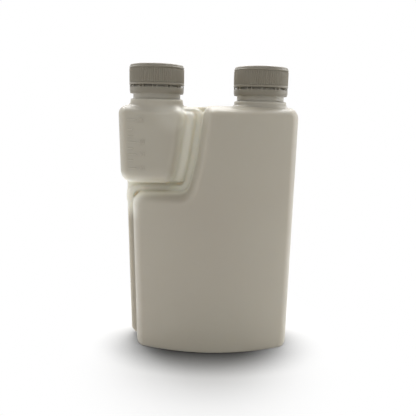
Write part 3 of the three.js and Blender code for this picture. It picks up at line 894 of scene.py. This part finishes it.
cap_top = 216.68
cap_bottom = 201.5
cap_ceiling = 215.3
cap_inner = 19.5
cap_ribs = 80
cap_rib_height = 0.5
cap_facets = 640
cap_thread_turns = 1.4
cap_rows = [
    (1.6, cap_top - 0.35, 0), (2.0, cap_top - 0.3, 0), (2.3, cap_top - 0.02, 0), (2.6, cap_top, 0),
    (16.4, cap_top, 0), (16.7, cap_top - 0.04, 0), (16.95, cap_top - 0.22, 0), (17.25, cap_top - 0.22, 0),
    (17.5, cap_top - 0.04, 0), (17.8, cap_top, 0), (18.5, cap_top, 0), (19.1, cap_top - 0.08, 0),
    (19.65, cap_top - 0.35, 0), (20.02, cap_top - 0.8, 0), (20.22, cap_top - 1.3, 0),
    (20.28, cap_top - 1.75, 0),
    (20.45, cap_top - 1.85, 0), (20.68, cap_top - 2.05, 0), (20.74, cap_top - 2.4, 0),
    (20.68, cap_top - 2.75, 0), (20.5, cap_top - 2.98, 0), (20.15, cap_top - 3.1, 0),
    (20.2, cap_top - 3.2, 0.4), (20.23, cap_top - 3.45, 1), (20.23, cap_bottom + 2.1, 1),
    (20.2, cap_bottom + 1.85, 0.4), (20.3, cap_bottom + 1.72, 0), (20.6, cap_bottom + 1.66, 0),
    (20.8, cap_bottom + 1.5, 0), (20.84, cap_bottom + 1.2, 0), (20.84, cap_bottom + 0.4, 0),
    (20.76, cap_bottom + 0.14, 0), (20.5, cap_bottom + 0.02, 0), (19.8, cap_bottom + 0.02, 0),
    (cap_inner, cap_bottom + 0.3, 0), (cap_inner, cap_ceiling - 0.6, 0), (19.2, cap_ceiling, 0),
    (1.0, cap_ceiling, 0),
]
for use, centre in neck_x.items():
    shell = turned_rows(cap_rows[::-1], cap_facets, centre, "capped", cap_ribs, cap_rib_height)
    ridge = thread_rows(cap_inner + thread_bury, cap_inner - thread_depth,
                        neck_thread_top + thread_pitch / 2, cap_thread_turns, centre)
    screw_cap = turned_piece(f"{use}_cap_shell", [shell, ridge], cap_plastic, f"{use}_cap")
    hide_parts(f"{use}_cap")

# Sealing discs: white closed-cell foam pressed into each cap, which the rim of the neck seals on.

foam, _ = moulded_plastic(
    "sealing_foam",
    dark=(0.80, 0.79, 0.76), light=(0.87, 0.86, 0.83), rub=(0.74, 0.73, 0.69),
    roughness=0.78, grain_size=2600.0, cloud_size=60.0, bump=0.9, milkiness=0.1, milk_depth=0.001)
disc_bottom = 213.92
disc_top = 214.98
disc_radius = 17.88
disc_facets = 128
disc_rows = [
    (2.0, disc_bottom, 0), (disc_radius - 0.38, disc_bottom, 0), (disc_radius - 0.08, disc_bottom + 0.1, 0),
    (disc_radius, disc_bottom + 0.33, 0), (disc_radius, disc_top - 0.28, 0),
    (disc_radius - 0.08, disc_top - 0.08, 0), (disc_radius - 0.38, disc_top, 0), (2.0, disc_top, 0),
]
for use, centre in neck_x.items():
    disc = turned_rows(disc_rows, disc_facets, centre, "capped")
    sealing_disc = turned_piece(f"{use}_sealing_disc", [disc], foam, f"{use}_liner")
    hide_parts(f"{use}_cap_liner")

# Tamper rings: moulded with the caps and held to them by pairs of thin bridges. They snap at
# the first opening, and the hook inside keeps the ring on the neck.

ring_bottom = 195.21
ring_top = 199.79
ring_radius = 20.59
ring_hook = 18.2
ring_facets = 192
ring_rows = [
    (cap_inner, ring_bottom + 0.19, 0), (cap_inner + 0.1, ring_bottom + 0.01, 0),
    (ring_radius - 0.64, ring_bottom, 0), (ring_radius - 0.46, ring_bottom + 0.09, 0),
    (ring_radius - 0.35, ring_bottom + 0.39, 0), (ring_radius - 0.03, ring_bottom + 1.89, 0),
    (ring_radius, ring_bottom + 2.19, 0), (ring_radius, ring_top - 0.34, 0),
    (ring_radius - 0.09, ring_top - 0.09, 0), (ring_radius - 0.29, ring_top, 0),
    (cap_inner + 0.2, ring_top, 0), (cap_inner, ring_top - 0.19, 0), (cap_inner, ring_top - 0.59, 0),
    (ring_hook + 0.05, ring_top - 0.94, 0), (ring_hook, ring_top - 1.09, 0),
    (ring_hook + 0.1, ring_top - 1.29, 0), (cap_inner, ring_top - 2.79, 0),
]
bridge_pairs = 12
bridge_spread = 4.5
bridge_radii = (19.72, 20.5)
bridge_heights = (199.6, 200.6, 201.19)
bridge_half_widths = (0.75, 0.4, 0.3)
for use, centre in neck_x.items():
    parts = [turned_rows(ring_rows, ring_facets, centre, "ring")]
    for pair in range(bridge_pairs):
        for side in (-bridge_spread, bridge_spread):
            angle = radians(pair * 360 / bridge_pairs + side)
            outwards = np.array((cos(angle), sin(angle)))
            sideways = np.array((-sin(angle), cos(angle)))
            corners = []
            for height, half in zip(bridge_heights, bridge_half_widths):
                for radius, way in ((0, -1), (1, -1), (1, 1), (0, 1)):
                    spot = outwards * bridge_radii[radius] + sideways * half * way
                    corners.append((centre + spot[0], spot[1], height))
            sides = [(4 * level + k, 4 * level + (k + 1) % 4, 4 * level + 4 + (k + 1) % 4, 4 * level + 4 + k)
                     for level in (0, 1) for k in range(4)]
            parts.append((np.array(corners), sides + [(3, 2, 1, 0), (8, 9, 10, 11)]))
    ring = turned_piece(f"{use}_tamper_band", parts, cap_plastic, "bottle")
    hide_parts(f"{use}_tamper_ring")
